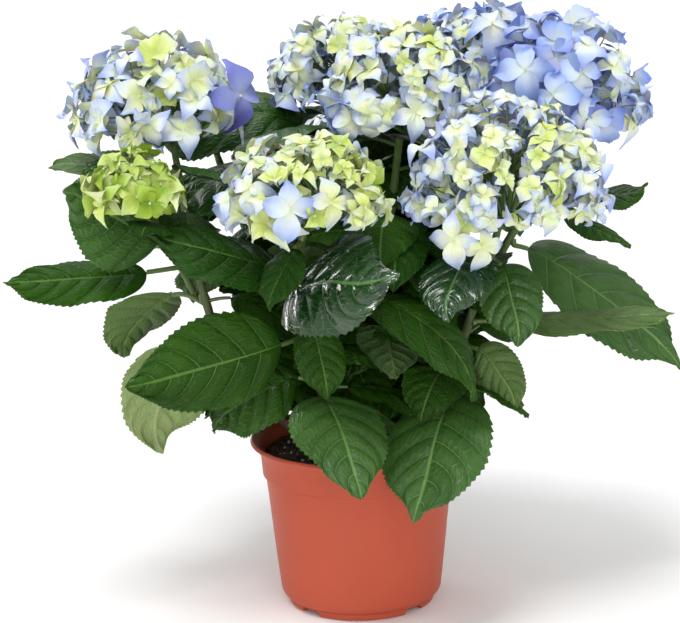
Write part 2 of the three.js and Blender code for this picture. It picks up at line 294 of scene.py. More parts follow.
def from_arrays(name, points, faces):
    """One mesh object from arrays of points and of faces, each face a row of the same length."""
    data = bpy.data.meshes.new(name)
    points, faces = np.asarray(points, np.float32), np.asarray(faces, np.int32)
    data.vertices.add(len(points))
    data.vertices.foreach_set("co", points.ravel())
    data.loops.add(faces.size)
    data.loops.foreach_set("vertex_index", faces.ravel())
    data.polygons.add(len(faces))
    data.polygons.foreach_set("loop_start", np.arange(0, faces.size, faces.shape[1], dtype=np.int32))
    data.update(calc_edges=True)
    data.validate()
    data.shade_smooth()
    made = bpy.data.objects.new(name, data)
    bpy.context.collection.objects.link(made)
    return made


soil_radius, _, soil_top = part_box("soil")[1]
soil_base = base_radius - 2 * POT_WALL
soil_profile = [(soil_radius * k / SOIL_RINGS, soil_top - 0.3 * MM) for k in range(1, SOIL_RINGS + 1)]
soil_profile += [
    (soil_radius - 2.2 * MM, soil_top - 12 * MM), (soil_base, 12 * MM),
    (soil_base - 4 * MM, POT_FLOOR + 0.4 * MM), (5 * MM, POT_FLOOR + 0.4 * MM),
]
soil = spin_up(soil_profile, SOIL_SIDES)
soil.name = "potting_mix"
mesh = bmesh.new()
mesh.from_mesh(soil.data)
bmesh.ops.holes_fill(mesh, edges=[e for e in mesh.edges if e.is_boundary])
bmesh.ops.recalc_face_normals(mesh, faces=mesh.faces)
mesh.to_mesh(soil.data)
mesh.free()
rng = np.random.default_rng(11)
waves = rng.uniform(-1, 1, (14, 4)) * np.array([260, 260, 0.18, math.pi])
points = np.array([v.co for v in soil.data.vertices])
on_top = points[:, 2] > soil_top - 2 * MM
on_top &= np.hypot(points[:, 0], points[:, 1]) < soil_radius - 1 * MM
for fx, fy, share, phase in waves:
    ripple = SOIL_ROUGHNESS * share * np.sin(fx * points[:, 0] + fy * points[:, 1] + phase)
    points[on_top, 2] += ripple[on_top]
points[on_top, 2] += rng.normal(0, SOIL_GRAIN, on_top.sum())
soil.data.vertices.foreach_set("co", points.ravel().astype(np.float32))
soil.data.update()
soil.data.shade_smooth()
soil.data.materials.append(soil_finish("peat", DARK_PEAT, LIGHT_PEAT, 420))
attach(soil, "root")
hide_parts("soil")

bpy.ops.mesh.primitive_ico_sphere_add(subdivisions=1, radius=1)
ball = bpy.context.object
ball_points = np.array([v.co for v in ball.data.vertices])
ball_faces = np.array([p.vertices for p in ball.data.polygons])
bpy.data.objects.remove(ball)


def scatter_crumbs(name, count, sizes, finish):
    """Uneven crumbs lying on the potting mix, joined in one piece."""
    reach = (soil_radius - 2 * MM) * np.sqrt(rng.uniform(0, 1, count))
    turn = rng.uniform(0, 2 * math.pi, count)
    size = rng.uniform(*sizes, count)[:, None, None]
    shape = ball_points[None] * (1 + rng.normal(0, 0.22, (count, len(ball_points), 1))) * size
    shape *= rng.uniform(0.6, 1.2, (count, 1, 3))
    centres = np.stack([reach * np.cos(turn), reach * np.sin(turn),
                        soil_top + rng.uniform(-0.2, 0.5, count) * MM], 1)
    faces = ball_faces[None] + len(ball_points) * np.arange(count)[:, None, None]
    crumbs = from_arrays(name, (shape + centres[:, None]).reshape(-1, 3), faces.reshape(-1, 3))
    crumbs.data.materials.append(finish)
    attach(crumbs, "root")


crumb_skin = soil_finish("crumbs", (0.03, 0.017, 0.01), (0.12, 0.07, 0.045), 300)
scatter_crumbs("peat_crumbs", CRUMB_COUNT, CRUMB_SIZES, crumb_skin)
perlite_skin = soil_finish("perlite", (0.5, 0.48, 0.44), (0.8, 0.79, 0.76), 500)
scatter_crumbs("perlite", PERLITE_COUNT, PERLITE_SIZES, perlite_skin)

# ---- The canes ---------------------------------------------------------------------------
# Woody stems a few years old: brown and flaking at the foot, green and faintly speckled
# higher up, swollen at each joint where a pair of leaves or a scar sits.

CANE_STEPS = 64
CANE_SIDES = 12
CANE_SLIMNESS = 0.93
JOINT_SPACING = 34 * MM
JOINT_LENGTH = 2.6 * MM
JOINT_SWELL = 0.16
BARK_RELIEF = 0.11 * MM
# A direction that no cane, stalk or ray runs in, to set out their rings from.
ASKEW = (0.31, 0.87, 0.38)


def shape_of(node):
    """A frame node's welded points and its edges, as arrays."""
    mesh = bmesh.new()
    mesh.from_mesh(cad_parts[node].data)
    bmesh.ops.remove_doubles(mesh, verts=mesh.verts, dist=0.01 * MM)
    points = np.array([v.co for v in mesh.verts])
    edges = np.array([[v.index for v in e.verts] for e in mesh.edges])
    mesh.free()
    return points, edges


def cut_through(points, edges, centre, direction, reach):
    """Where a plane cuts the edges, within reach of the centre."""
    side = (points - centre) @ direction
    a, b = edges[:, 0], edges[:, 1]
    crossing = side[a] * side[b] < 0
    a, b = a[crossing], b[crossing]
    share = (side[a] / (side[a] - side[b]))[:, None]
    found = points[a] + share * (points[b] - points[a])
    return found[np.linalg.norm(found - centre, axis=1) < reach]


def bark_finish():
    """Bark that turns from brown at the foot to green higher up, over an upright grain."""
    finish = Finish("young_bark")
    place = finish.node("ShaderNodeTexCoord", out=3)
    height_up = finish.node("ShaderNodeSeparateXYZ", None, {0: place}, out=2)
    upright = finish.node("ShaderNodeMapping", None, {"Vector": place, "Scale": (1, 1, 0.25)})
    grain = finish.noise(upright, 500, 6, 0.65)
    patches = finish.noise(place, 60, 3)
    age = finish.ramp(
        (height_up - 0.1) / 0.13 + patches * 0.5 - 0.25, (0.0, (0.085, 0.032, 0.018)),
        (0.35, (0.11, 0.055, 0.025)), (0.55, (0.075, 0.095, 0.025)), (1.0, (0.10, 0.17, 0.035)))
    flecks = finish.ramp(grain, (0.3, 0.35), (0.62, 1.0))
    colour = finish.mix(0.75, age, flecks, "MULTIPLY")
    return finish.surface(base_color=colour, roughness=0.62, normal=finish.bump(grain, 0.6, 0.6 * MM))


def unit(rows):
    """Each row turned into a direction of length one."""
    return rows / np.linalg.norm(rows, axis=1)[:, None]


def sweep(centres, radii, sides):
    """A closed tube along a line of centres: its points, the quads of its wall and of its ends."""
    along = unit(np.gradient(centres, axis=0))
    across = unit(np.cross(along, ASKEW))
    third = np.cross(along, across)
    around = np.linspace(0, 2 * math.pi, sides, endpoint=False)
    ring = across[:, None] * np.cos(around)[:, None] + third[:, None] * np.sin(around)[:, None]
    reach = np.broadcast_to(np.asarray(radii).reshape(len(centres), -1), (len(centres), sides))
    points = centres[:, None] + ring * reach[..., None]
    index = np.arange(len(centres) * sides).reshape(-1, sides)
    closed = np.hstack([index, index[:, :1]])
    walls = np.stack([closed[:-1, :-1], closed[:-1, 1:], closed[1:, 1:], closed[1:, :-1]], -1).reshape(-1, 4)
    k = np.arange(sides // 2 - 1)
    cap = np.stack([k, k + 1, sides - 2 - k, sides - 1 - k], 1)
    return points.reshape(-1, 3), walls, np.vstack([cap[:, ::-1], cap + index[-1, 0]])


def rods(name, paths, sides):
    """Tapered tubes joined in one piece. Each path is its centre points and their radii."""
    points, quads, first = [], [], 0
    for centres, radii in paths:
        tube_points, walls, caps = sweep(centres, radii, sides)
        points.append(tube_points)
        quads += [walls + first, caps + first]
        first += len(tube_points)
    return from_arrays(name, np.vstack(points), np.vstack(quads))


cane_nodes = [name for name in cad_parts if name.startswith("cane_")]
cane_lines = {}
bark = bark_finish()
for order, node in enumerate(cane_nodes):
    rng = np.random.default_rng(200 + order)
    points, edges = shape_of(node)
    low, high = points[:, 2].min(), points[:, 2].max()
    heights = np.linspace(low + 0.3 * MM, high - 0.3 * MM, CANE_STEPS)
    centres, radii = [], []
    for z in heights:
        ring = cut_through(points, edges, np.array([0, 0, z]), np.array([0, 0, 1.0]), 1)
        centres.append(ring.mean(0))
        radii.append(np.linalg.norm(ring - ring.mean(0), axis=1).mean())
    centres, radii = np.array(centres), np.array(radii)
    centres[[0, -1], 2] = low, high
    cane_lines[node] = centres
    from_joint = (heights - low + 12 * MM) % JOINT_SPACING
    swell = np.exp(-((from_joint - JOINT_SPACING / 2) / JOINT_LENGTH) ** 2)
    radii = radii * CANE_SLIMNESS * (1 + JOINT_SWELL * swell)
    around = rng.normal(0, BARK_RELIEF, (CANE_STEPS, CANE_SIDES))
    cane = rods("bark_" + node, [(centres, radii[:, None] + around)], CANE_SIDES)
    cane.data.materials.append(bark)
    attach(cane, "root")
    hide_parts(node)

# ---- The leaves --------------------------------------------------------------------------
# Broad pointed leaves in opposite pairs, toothed along the edge, quilted between seven pairs
# of sunken veins. The upper face is dark and glossy, the underside pale with raised veins,
# and a short stalk joins each leaf to its cane.

TEETH = 30
ROWS_PER_TOOTH = 4
TOOTH_DEPTH = 0.05
VEIN_PAIRS = 7
VEIN_SWEEP = 0.36
VEIN_STAGGER = 0.3
LEAF_ARCH = 0.16
QUILT_DEPTH = 0.055
EDGE_WAVE, EDGE_RIPPLE = 0.08, 0.035
GROOVE_DEPTH, GROOVE_WIDTH = 0.7 * MM, 1.3 * MM
RIB_HEIGHT, RIB_WIDTH = 1.1 * MM, 1.5 * MM
VEIN_HEIGHT, VEIN_WIDTH = 0.3 * MM, 0.07
BLADE_THICKNESS = 0.45 * MM
LEAF_SLICES = 70
LEAF_STEPS = 120
STALK_FOOT, STALK_RADIUS, STALK_TOP = 2.6 * MM, 1.7 * MM, 1.53 * MM
STALK_SIDES = 8
# How far out from the rib the rows of points run, and where each skin lies in V.
ACROSS = np.array([0, 0.035, 0.1, 0.19, 0.3, 0.42, 0.55, 0.68, 0.81, 0.92, 1.0])
UPPER_BAND, LOWER_BAND, STALK_BAND = (0.54, 1.0), (0.07, 0.52), (0.0, 0.05)


def ease(low, high, x):
    """0 below low, 1 above high, and a smooth step between."""
    x = np.clip((x - low) / (high - low), 0, 1)
    return x * x * (3 - 2 * x)


def outline(t):
    """Share of the full half width at t along the blade."""
    t = np.clip(t, 0, 1)
    return np.sin(np.pi * t ** 0.8) ** 0.68 * (1 - 0.5 * ease(0.75, 1, t))


def grid_faces(index):
    """Quads over a grid of point numbers."""
    return np.stack([index[:-1, :-1], index[1:, :-1], index[1:, 1:], index[:-1, 1:]], -1).reshape(-1, 4)


def blade(line, side, face, half, rng, teeth=TEETH, across=ACROSS):
    """A leaf blade on its rib line: points, quads, their UVs and material numbers."""
    rows = teeth * ROWS_PER_TOOTH
    v = np.concatenate([-across[:0:-1], across])
    s = np.linspace(0, 1, rows + 1)[:, None] + 0 * v
    v = v + 0 * s
    reach = np.abs(v)
    t = np.clip(s + VEIN_SWEEP * (0.5 * reach + 0.5 * reach ** 2) * np.sin(np.pi * s) * (1 - 0.35 * s), 0, 1)
    notch = (np.arange(rows + 1) % ROWS_PER_TOOTH / (ROWS_PER_TOOTH - 1))[:, None]
    toothed = ease(0.05, 0.16, s) * (1 - ease(0.9, 0.98, s))
    width = half * np.maximum(outline(t), 0.02) + half * TOOTH_DEPTH * toothed * (notch - 0.5) * reach ** 10
    width = np.maximum(width, 0.25 * MM)
    cell = (VEIN_PAIRS * s + VEIN_STAGGER * (v > 0)) % 1
    quilt = half * QUILT_DEPTH * rng.uniform(0.8, 1.3) * np.sin(np.pi * cell) ** 0.7
    quilt *= ease(0.0, 0.16, reach) * (1 - 0.6 * ease(0.72, 1.0, reach))
    quilt *= ease(0, 0.08, s) * (1 - ease(0.86, 1, s))
    wave = EDGE_WAVE * np.sin(2 * np.pi * (1.4 * s + rng.uniform()) + 1.3 * np.sign(v))
    wave += EDGE_RIPPLE * np.sin(2 * np.pi * (3.7 * s + rng.uniform()) + 2.1 * np.sign(v))
    wave *= half * reach ** 2.4 * ease(0, 0.2, s) * (1 - 0.5 * ease(0.8, 1, s))
    groove = GROOVE_DEPTH * np.exp(-(v * width / GROOVE_WIDTH) ** 2) * (1 - 0.8 * s)
    lift = quilt + wave - groove - LEAF_ARCH * width * v ** 2
    at = np.linspace(0, 1, len(line))
    where, sideways, upward = (
        np.stack([np.interp(t, at, column) for column in guide.T], -1) for guide in (line, side, face))
    top_sheet = where + sideways * (v * width)[..., None] + upward * lift[..., None]
    rib = RIB_HEIGHT * np.exp(-(v * width / RIB_WIDTH) ** 2) * (1 - 0.75 * s)
    veins = VEIN_HEIGHT * np.exp(-(np.minimum(cell, 1 - cell) / VEIN_WIDTH) ** 2) * (1 - reach ** 2)
    under_sheet = top_sheet - upward * (BLADE_THICKNESS + rib + veins)[..., None]
    upper = np.arange(s.size).reshape(s.shape)
    inside = np.zeros(s.shape, bool)
    inside[1:-1, 1:-1] = True
    lower = upper.copy()
    lower[inside] = s.size + np.arange(inside.sum())
    points = np.vstack([top_sheet.reshape(-1, 3), under_sheet[inside]])
    quads = np.vstack([grid_faces(upper), grid_faces(lower)[:, ::-1]])
    flat = np.stack([s, 0.5 + 0.5 * v], -1)
    flat_quads = flat.reshape(-1, 2)[grid_faces(upper)]
    uvs = np.concatenate([in_band(flat_quads, UPPER_BAND), in_band(flat_quads, LOWER_BAND)[:, ::-1]])
    kinds = np.repeat([0, 1], len(flat_quads))
    return points, quads, uvs, kinds


def in_band(flat, band):
    """Squeezes the V of a UV layout into a band of it."""
    low, high = band
    return np.stack([0.01 + 0.98 * flat[..., 0], low + (high - low) * flat[..., 1]], -1)


def stalk(centres, radii, sides=STALK_SIDES):
    """A leaf stalk as a closed tube: points, quads, their UVs and material numbers."""
    points, walls, caps = sweep(centres, radii, sides)
    quads = np.vstack([walls, caps])
    u, v = np.divmod(quads, sides)
    wrap = (v.max(1) == sides - 1) & (v.min(1) == 0)
    v = np.where(wrap[:, None] & (v == 0), sides, v)
    flat = np.stack([u / (len(centres) - 1), v / sides], -1)
    flat[len(walls):, :, 0] = np.linspace(0, 0.1, 4)
    return points, quads, in_band(flat, STALK_BAND), np.full(len(quads), 2)


def join_parts(name, parts, finishes):
    """One object from several (points, quads, uvs, kinds), with its OFBake map."""
    first, points, quads, uvs, kinds = 0, [], [], [], []
    for part in parts:
        points.append(part[0])
        quads.append(part[1] + first)
        uvs.append(part[2])
        kinds.append(part[3])
        first += len(part[0])
    made = from_arrays(name, np.vstack(points), np.vstack(quads))
    layer = made.data.uv_layers.new(name="OFBake")
    layer.data.foreach_set("uv", np.concatenate(uvs).astype(np.float32).ravel())
    made.data.polygons.foreach_set("material_index", np.concatenate(kinds).astype(np.int32))
    for finish in finishes:
        made.data.materials.append(finish)
    bpy.ops.object.select_all(action="DESELECT")
    made.select_set(True)
    bpy.context.view_layer.objects.active = made
    bpy.ops.object.shade_smooth_by_angle(angle=math.radians(75))
    return made


def follow_leaf(node):
    """Rib line, side and face directions, half width and stalk line of a frame leaf."""
    points, edges = shape_of(node)
    spread = np.linalg.norm(points[:, None] - points[None], axis=2)
    ends = points[list(np.unravel_index(spread.argmax(), spread.shape))]
    lines = np.vstack(list(cane_lines.values()))
    foot_first = np.argsort([np.linalg.norm(lines - end, axis=1).min() for end in ends])
    foot, tip = ends[foot_first]
    chord = (tip - foot) / np.linalg.norm(tip - foot)
    stations = np.linspace(0.02, 0.98, LEAF_SLICES)
    slices = [cut_through(points, edges, foot + share * (tip - foot), chord, 1) for share in stations]
    spans = []
    for ring in slices:
        gaps = np.linalg.norm(ring[:, None] - ring[None], axis=2)
        a, b = np.unravel_index(gaps.argmax(), gaps.shape)
        spans.append(ring[a] - ring[b])
    spans = np.array(spans)
    widest = spans[np.linalg.norm(spans, axis=1).argmax()]
    spans *= np.sign(spans @ widest)[:, None]
    weights = np.linalg.norm(spans, axis=1)
    wide = weights > 0.35 * weights.max()
    side = unit(smooth_curve(stations[wide], spans[wide] / weights[wide, None], stations, 2))
    half, middle, crown = [], [], []
    for ring, direction in zip(slices, side):
        across = ring @ direction
        low, high = ring[across.argmin()], ring[across.argmax()]
        half.append((across.max() - across.min()) / 2)
        middle.append((low + high) / 2)
        crown.append(ring.mean(0) - (low + high) / 2)
    half, middle, crown = np.array(half), np.array(middle), np.array(crown)
    along = np.gradient(smooth_curve(stations, middle, stations, 5), axis=0)
    face = unit(np.cross(side, along))
    if (np.sum(crown * face, axis=1) * half).sum() < 0:
        side, face = -side, -face
    centre = middle + face * (LEAF_ARCH * half * (half > 3 * MM))[:, None]
    start = stations[np.argmax(half > 3.2 * MM)]
    shares = np.linspace(start, 1.0, LEAF_STEPS)
    rib = smooth_curve(stations, centre, shares, 5)
    length = np.concatenate([[0], np.cumsum(np.linalg.norm(np.diff(rib, axis=0), axis=1))])
    even = np.interp(np.linspace(0, length[-1], LEAF_STEPS), length, shares)
    rib = smooth_curve(stations, centre, even, 5)
    side = smooth_curve(stations, side, even, 2)
    along = unit(np.gradient(rib, axis=0))
    side = unit(side - along * np.sum(side * along, axis=1)[:, None])
    stem = smooth_curve(stations, centre, np.linspace(0, start, 8), 5)
    root = lines[np.linalg.norm(lines - foot, axis=1).argmin()]
    return rib, side, np.cross(side, along), half.max(), np.vstack([root + 0.4 * (foot - root), stem])


def smooth_curve(at, values, where, degree):
    """A polynomial through rows of values, read at other places."""
    return np.stack([np.polynomial.Polynomial.fit(at, column, degree)(where) for column in values.T], 1)


def leaf_finish(name, deep, fresh, vein, roughness, shine, wax, relief, band, raised):
    """Leaf skin with its net of veins, in a band of V. raised is 1 for veins that stand up, -1 for sunken."""
    finish = Finish(name)
    place = finish.node("ShaderNodeTexCoord", out=3)
    flat = finish.node("ShaderNodeUVMap", {"uv_map": "OFBake"})
    along = finish.node("ShaderNodeSeparateXYZ", None, {0: flat}, out=0)
    across = finish.node("ShaderNodeSeparateXYZ", None, {0: flat}, out=1)
    along = (along - 0.01) / 0.98
    across = (across - band[0]) * (2 / (band[1] - band[0])) - 1
    reach = abs(across)
    right = finish.node("ShaderNodeMath", {"operation": "GREATER_THAN"}, {0: across, 1: 0.0})
    cell = (along * VEIN_PAIRS + right * VEIN_STAGGER).fraction()
    from_vein = 0.5 - abs(cell - 0.5)
    narrow = finish.fade(from_vein + reach * 0.015, 0.010, 0.038, 1.0, 0.0)
    midrib = finish.fade(reach * (1.1 - along), 0.008, 0.024, 1.0, 0.0)
    netting = finish.node("ShaderNodeCombineXYZ", None, {
        0: (along * VEIN_PAIRS + right * VEIN_STAGGER) * 2.0, 1: across * 9.0})
    warp = finish.noise(netting, 0.9, 2, out=1)
    netting = finish.node("ShaderNodeVectorMath", {"operation": "ADD"}, {0: netting, 1: warp})
    from_net = finish.node(
        "ShaderNodeTexVoronoi", {"feature": "DISTANCE_TO_EDGE", "voronoi_dimensions": "2D"},
        {"Vector": netting, "Scale": 1.0, "Randomness": 0.8})
    fine = finish.fade(from_net, 0.01, 0.09, 1.0, 0.0)
    pillows = finish.fade(from_net, 0.0, 0.22, 1.0, 0.0)
    veins = finish.node("ShaderNodeMath", {"operation": "MAXIMUM"}, {0: narrow, 1: midrib})
    beside = finish.fade(from_vein, 0.0, 0.3, 1.0, 0.0)
    patches = finish.noise(place, 26, 4)
    grain = finish.noise(place, 700, 2)
    colour = finish.mix(patches * 2.2 - 0.65 - beside * 0.3, deep, fresh)
    colour = finish.mix(veins * (0.8 - reach * 0.4) + fine * 0.1, colour, vein)
    bump = finish.bump((veins * 0.6 + pillows * 0.6) * raised + grain * 0.06, relief, 1.2 * MM)
    return finish.surface(base_color=colour, roughness=roughness + patches * 0.1 - 0.05, normal=bump,
                          specular_ior_level=shine, coat_weight=wax, coat_roughness=0.12)


# Dark and light skin, vein, roughness, shine, wax and relief of each tone of leaf, above and below.
LEAF_TONES = {
    "glossy": ((0.003, 0.026, 0.003), (0.009, 0.058, 0.006), (0.10, 0.24, 0.06), 0.24, 0.3, 0.9, 0.5),
    "deep": ((0.009, 0.038, 0.003), (0.020, 0.078, 0.006), (0.080, 0.18, 0.032), 0.38, 0.09, 0.0, 0.6),
    "middle": ((0.013, 0.050, 0.003), (0.034, 0.105, 0.008), (0.12, 0.23, 0.048), 0.38, 0.1, 0.0, 0.55),
    "soft": ((0.012, 0.052, 0.003), (0.036, 0.115, 0.007), (0.12, 0.25, 0.05), 0.5, 0.03, 0.0, 0.55),
    "satin": ((0.029, 0.084, 0.014), (0.062, 0.155, 0.028), (0.15, 0.29, 0.08), 0.38, 0.25, 0.0, 0.4),
    "fresh": ((0.080, 0.145, 0.036), (0.135, 0.220, 0.066), (0.23, 0.34, 0.12), 0.45, 0.12, 0.0, 0.5),
}
PALE_UNDERSIDE = ((0.085, 0.155, 0.050), (0.120, 0.205, 0.070), (0.20, 0.29, 0.11), 0.55, 0.1, 0.0, 0.5)
UNDER_TONES = {
    "glossy": ((0.045, 0.100, 0.030), (0.070, 0.140, 0.045), (0.14, 0.23, 0.09), 0.55, 0.1, 0.0, 0.5),
    "deep": ((0.045, 0.085, 0.024), (0.070, 0.120, 0.036), (0.13, 0.21, 0.07), 0.55, 0.1, 0.0, 0.5),
    "middle": PALE_UNDERSIDE,
    "soft": PALE_UNDERSIDE,
    "satin": PALE_UNDERSIDE,
    "fresh": ((0.240, 0.340, 0.130), (0.330, 0.440, 0.180), (0.42, 0.50, 0.24), 0.55, 0.1, 0.0, 0.5),
}
upper_finishes = {
    tone: leaf_finish("leaf_upper_" + tone, *look, UPPER_BAND, -1) for tone, look in LEAF_TONES.items()}
under_finishes = {
    tone: leaf_finish("leaf_under_" + tone, *look, LOWER_BAND, 1) for tone, look in UNDER_TONES.items()}


def stalk_finish(name, shaded, bright):
    """Smooth green skin of a leaf stalk, faintly streaked."""
    finish = Finish(name)
    place = finish.node("ShaderNodeTexCoord", out=3)
    streaks = finish.noise(place, 260, 3)
    colour = finish.mix(streaks, shaded, bright)
    return finish.surface(base_color=colour, roughness=0.45, normal=finish.bump(streaks, 0.3, 0.4 * MM))


stalk_skin = stalk_finish("leaf_stalk", (0.06, 0.12, 0.022), (0.14, 0.22, 0.05))
# A darker copy of the stalk skin: painted shade for the stalks inside the crown.
painted_shade_stalk_skin = stalk_finish("painted_shade_stalk", (0.035, 0.075, 0.015), (0.07, 0.13, 0.025))
TONE_OF = {
    "glossy": ("front_glossy", "right_glossy"),
    "deep": ("left_under_head", "left_shadow", "inner_dark", "top_left", "centre_upper", "inner_left",
             "front_long", "front_collar", "left_inward"),
    "soft": ("far_left",),
    "satin": ("low_front", "low_right", "right_front", "far_right", "left_upper"),
    "fresh": ("left_hanging", "left_olive", "right_folded", "left_behind", "right_level"),
}
leaf_nodes = [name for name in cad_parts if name.startswith("leaf_")]
for order, node in enumerate(leaf_nodes):
    rng = np.random.default_rng(500 + order)
    rib, side, face, half, stem = follow_leaf(node)
    tone = next((t for t, names in TONE_OF.items() if node.removeprefix("leaf_") in names), "middle")
    radii = np.interp(np.linspace(0, 1, len(stem)), [0, 0.15, 1], [STALK_FOOT, STALK_RADIUS, STALK_TOP])
    parts = [blade(rib, side, face, half, rng), stalk(stem, radii)]
    leaf = join_parts("foliage_" + node.removeprefix("leaf_"), parts,
                      [upper_finishes[tone], under_finishes[tone], stalk_skin])
    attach(leaf, "root")
    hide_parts(node)

# ---- The inner leaves --------------------------------------------------------------------
# Smaller leaves with darker undersides that fill the middle of the crown, in opposite pairs up each
# cane; their stalks are a darker copy of the stalk skin, painted shade for the inside of the crown.
# They grow by rule, and one that would stand in a flower head, in the open gap at the left or
# outside the crown is left out.

# The lowest and highest pair on a cane, the step between pairs and the usual length, in mm.
INNER_CANES = {
    "cane_centre": (150, 312, 15, 84),
    "cane_top_left": (140, 318, 15, 94),
    "cane_top_back": (140, 320, 17, 88),
    "cane_front": (135, 245, 18, 68),
    "cane_front_right": (140, 240, 20, 68),
    "cane_back": (135, 262, 20, 80),
    "cane_back_left": (130, 262, 18, 86),
    "cane_right": (130, 230, 22, 64),
    "cane_left": (130, 292, 19, 70),
}
INNER_LOW, INNER_HIGH = np.array([-130, -74, 90]) * MM, np.array([112, 170, 330]) * MM
GAP_LOW, GAP_HIGH = np.array([-150, -200, 150]) * MM, np.array([-82, 200, 232]) * MM
INNER_TEETH = 12
INNER_ACROSS = ACROSS[[0, 2, 4, 6, 8, 10]]
INNER_STEPS = 60
INNER_HALF = 0.3
INNER_STALK_STEPS = 12
INNER_STALK_RADII = np.linspace(1.5, 1.1, 6) * MM
TRIES = 4


def dome(node):
    """Centre and half sizes of a flower head, from its frame box: half as deep below as above."""
    low, high = (np.array(corner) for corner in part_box(node))
    half = (high - low) / 2
    half[2] = (high[2] - low[2]) / 1.5
    return np.array([(low[0] + high[0]) / 2, (low[1] + high[1]) / 2, low[2] + half[2] / 2]), half


domes = [dome(name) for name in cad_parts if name.startswith("head_")]
for order, (cane_name, (lowest, highest, step, typical)) in enumerate(INNER_CANES.items()):
    rng = np.random.default_rng(700 + order)
    cane_line = cane_lines[cane_name]
    parts = []
    for level, z in enumerate(np.arange(lowest, highest, step) * MM):
        root = np.array([np.interp(z, cane_line[:, 2], cane_line[:, k]) for k in range(3)])
        for opposite, attempt in ((o, a) for o in (0, 1) for a in range(TRIES)):
            if attempt == 0:
                grown = False
            compass = math.radians(35 * order + 90 * level + 180 * opposite + 45 * attempt)
            compass += rng.normal(0, 0.3)
            length = typical * MM * rng.uniform(0.8, 1.15)
            turn = rng.normal(0, 0.2)
            rise = np.radians(np.linspace(rng.uniform(5, 40), rng.uniform(-75, -20), INNER_STEPS))
            heading = compass + turn * np.linspace(0, 1, INNER_STEPS)
            ahead = np.stack([np.cos(heading), np.sin(heading), np.tan(rise)], 1)
            along = ahead * np.cos(rise)[:, None]
            line = root + np.cumsum(along, axis=0) * length / INNER_STEPS
            side = np.stack([np.sin(heading), -np.cos(heading), 0 * heading], 1)
            face = np.cross(side, along)
            roll = rng.normal(0, 0.35)
            side, face = (side * math.cos(roll) - face * math.sin(roll),
                          side * math.sin(roll) + face * math.cos(roll))
            half = INNER_HALF * length
            widest = slice(INNER_STEPS // 2, INNER_STEPS * 5 // 6)
            edges = [line[widest] + half * side[widest], line[widest] - half * side[widest]]
            body = np.vstack([line[INNER_STEPS // 3:], *edges])
            buried = any(((((body - middle) / size) ** 2).sum(1) < 0.6).any() for middle, size in domes)
            outside = (body < INNER_LOW).any() or (body > INNER_HIGH).any()
            in_gap = ((body > GAP_LOW) & (body < GAP_HIGH)).all(1).any()
            if grown or buried or outside or in_gap:
                continue
            grown = True
            guides = (guide[INNER_STALK_STEPS:] for guide in (line, side, face))
            parts.append(blade(*guides, half, rng, INNER_TEETH, INNER_ACROSS))
            stem = np.vstack([root, line[:INNER_STALK_STEPS + 2:3]])
            parts.append(stalk(stem, INNER_STALK_RADII, 6))
    # The inner stalks take the darker stalk copy: painted shade for the inside of the crown.
    leaves = join_parts("inner_leaves_" + cane_name.removeprefix("cane_"), parts,
                        [upper_finishes["middle"], under_finishes["deep"], painted_shade_stalk_skin])
    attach(leaves, "root")

# ---- The flower heads --------------------------------------------------------------------
# Mopheads: domes of florets, each four broad papery sepals round a small bead, on a thin
# green stalk. The youngest are small and lime green, then cream, and the ripest blue or violet.

PETAL_ROWS, PETAL_COLUMNS = 7, 4
PETAL_WIDTH = 0.43
HANGING_PETAL = 1.2
FIVE_PETALLED = 0.08
RIPENESS_BANDS = 24
RIPEST = 0.84
BEAD_U = 0.05
BEAD_RADIUS = 1.15 * MM
GOLDEN_TURN = math.pi * (3 - math.sqrt(5))
SPACING = 0.78
HEART_REACH = 1.7
RIPENESS_SPREAD = 0.085
UPWARD_LEAN = 0.18
FACING_SPREAD = 0.42
SEAT_DEPTH = 9 * MM
UNDERLAYER = 0.55
SEATS_PER_FORK = 6
RAY_SIDES = 6
RAY_RADII = np.array([0.6, 0.5, 0.45]) * MM
BRANCH_RADII = np.array([1.4, 1.1, 0.8]) * MM


def petal_grid():
    """One sepal, base at the origin and tip at +X: along and across shares, and half widths."""
    t = np.linspace(0, 1, PETAL_ROWS + 1)[:, None] + np.zeros(PETAL_COLUMNS + 1)
    v = np.linspace(-1, 1, PETAL_COLUMNS + 1) + 0 * t
    width = PETAL_WIDTH * np.sin(np.pi * t ** 0.92) ** 0.9 * (1 - 0.3 * ease(0.6, 1, t))
    return t, v, v * np.maximum(width, 0.04)


PETAL_T, PETAL_V, PETAL_Y = petal_grid()
BEAD_CORNERS = np.array([[x, y, z] for x in (-1, 1) for y in (-1, 1) for z in (-1, 1)]) / math.sqrt(3)
BEAD_QUADS = np.array([[0, 1, 3, 2], [4, 6, 7, 5], [0, 4, 5, 1], [2, 3, 7, 6], [0, 2, 6, 4], [1, 5, 7, 3]])


